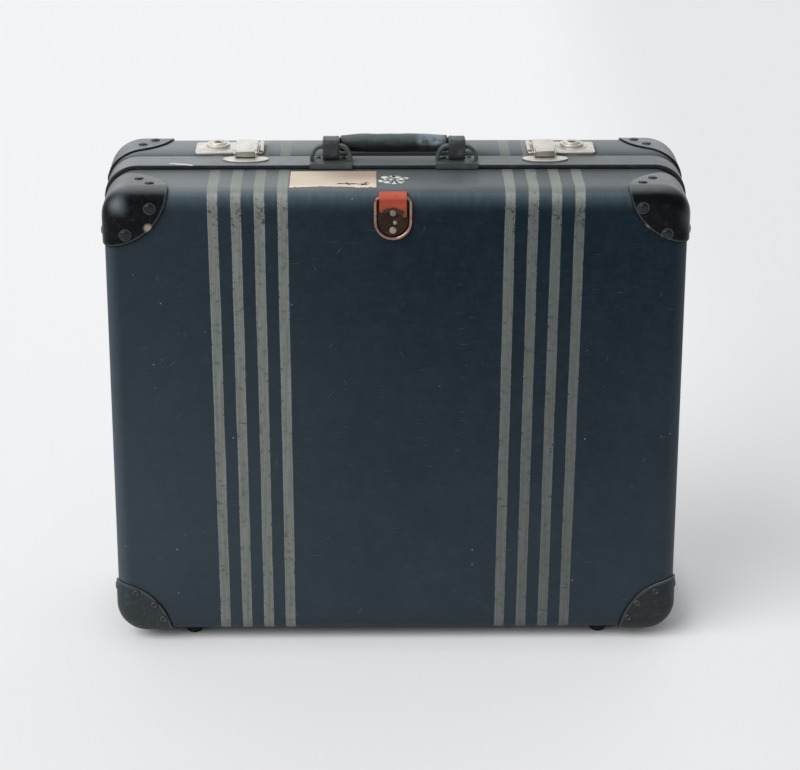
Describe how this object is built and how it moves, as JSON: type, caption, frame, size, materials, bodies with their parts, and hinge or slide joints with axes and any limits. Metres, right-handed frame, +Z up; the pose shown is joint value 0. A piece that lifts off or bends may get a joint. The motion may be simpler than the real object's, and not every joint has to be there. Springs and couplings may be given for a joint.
{
  "type": "hard-shell suitcase",
  "caption": "Vintage navy fibre suitcase with stripes, riveted corner guards, nickel hasp locks, a leather handle and a front carrying ring.",
  "frame": {"origin": "on the floor under the middle of the closed case, standing on its hinge side", "axes": "+X to the right of a person facing the front, +Y from the front panel to the lid, +Z up to the handle"},
  "size_m": [0.6212, 0.2004, 0.5411],
  "materials": {
    "navy_fibre": "pressed fibre board, woven grain, painted stripes, scuffed",
    "band_fibre": "plain fibre band, worn at its edge",
    "guard_leather": "dark moulded leather, scuffed, with domed rivets",
    "grip_leather": "stitched leather, cracked and worn",
    "red_leather": "red leather, torn at its lower edge",
    "brown_leather": "dark brown leather",
    "lining_paper": "thin paper lining",
    "nickel": "worn nickel plate",
    "dark_metal": "dark worn steel",
    "worn_copper": "bare copper-coloured wire, worn plating",
    "pale_rivet": "dull rivet heads",
    "foot_rubber": "plain",
    "spring_steel": "plain"
  },
  "bodies": {
    "base": {"base_shell": "navy_fibre", "edge_band": "band_fibre", "base_lining": "lining_paper", "base_guard_top_left": "guard_leather", "base_guard_top_right": "guard_leather", "base_guard_bottom_left": "guard_leather", "base_guard_bottom_right": "guard_leather", "base_foot_left": "foot_rubber", "hinge_base_leaf_left": "nickel", "hinge_pin_left": "nickel", "handle_mount_left": "dark_metal", "handle_arch_left": "dark_metal", "hasp_plate_left": "nickel", "hasp_pin_left": "nickel", "base_foot_right": "foot_rubber", "hinge_base_leaf_right": "nickel", "hinge_pin_right": "nickel", "handle_mount_right": "dark_metal", "handle_arch_right": "dark_metal", "hasp_plate_right": "nickel", "hasp_pin_right": "nickel", "ring_tab": "red_leather", "ring_backing": "brown_leather", "ring_rivet_1": "pale_rivet", "ring_rivet_2": "pale_rivet", "ring_rivet_3": "pale_rivet"},
    "lid": {"lid_shell": "navy_fibre", "lid_lining": "lining_paper", "lid_guard_top_left": "guard_leather", "lid_guard_top_right": "guard_leather", "lid_guard_bottom_left": "guard_leather", "lid_guard_bottom_right": "guard_leather", "lid_foot_left": "foot_rubber", "hinge_lid_leaf_left": "nickel", "lock_plate_left": "nickel", "lock_backplate_left": "dark_metal", "lock_spring_left": "spring_steel", "lid_foot_right": "foot_rubber", "hinge_lid_leaf_right": "nickel", "lock_plate_right": "nickel", "lock_backplate_right": "dark_metal", "lock_spring_right": "spring_steel"},
    "handle": {"handle_strap_left": "grip_leather", "handle_strap_right": "grip_leather", "handle_grip": "grip_leather"},
    "hasp_left_body": {"hasp_left": "nickel", "hasp_staple_left": "nickel"},
    "button_left_body": {"lock_button_left": "nickel"},
    "key_plug_left_body": {"key_plug_left": "dark_metal"},
    "hasp_right_body": {"hasp_right": "nickel", "hasp_staple_right": "nickel"},
    "button_right_body": {"lock_button_right": "nickel"},
    "key_plug_right_body": {"key_plug_right": "dark_metal"},
    "ring": {"d_ring": "worn_copper"}
  },
  "joints": [
    {"name": "lid_hinge", "type": "hinge", "parent": "base", "child": "lid", "pos_m": [0, 0.02095, 0.0035], "axis": [-1, 0, 0], "range_deg": [0, 180]},
    {"name": "handle_turn", "type": "hinge", "parent": "base", "child": "handle", "pos_m": [-0.0017, -0.00205, 0.533], "axis": [1, 0, 0], "range_deg": [0, 200]},
    {"name": "ring_swing", "type": "hinge", "parent": "base", "child": "ring", "pos_m": [-0.0036, -0.09665, 0.5035], "axis": [-1, 0, 0], "range_deg": [0, 120]},
    {"name": "hasp_left_turn", "type": "hinge", "parent": "base", "child": "hasp_left_body", "pos_m": [-0.1585, 0.00695, 0.52228], "axis": [1, 0, 0], "range_deg": [0, 150]},
    {"name": "lock_slide_left", "type": "slide", "parent": "lid", "child": "button_left_body", "axis": [-1, 0, 0], "range_m": [0, 0.005], "stiffness_N_per_m": 300, "deforming": ["lock_spring_left"]},
    {"name": "key_turn_left", "type": "hinge", "parent": "button_left_body", "child": "key_plug_left_body", "pos_m": [-0.1895, 0.04545, 0.524], "axis": [0, 0, 1], "range_deg": [0, 90]},
    {"name": "hasp_right_turn", "type": "hinge", "parent": "base", "child": "hasp_right_body", "pos_m": [0.1585, 0.00695, 0.52228], "axis": [1, 0, 0], "range_deg": [0, 150]},
    {"name": "lock_slide_right", "type": "slide", "parent": "lid", "child": "button_right_body", "axis": [1, 0, 0], "range_m": [0, 0.005], "stiffness_N_per_m": 300, "deforming": ["lock_spring_right"]},
    {"name": "key_turn_right", "type": "hinge", "parent": "button_right_body", "child": "key_plug_right_body", "pos_m": [0.1895, 0.04545, 0.524], "axis": [0, 0, 1], "range_deg": [0, 90]}
  ]
}
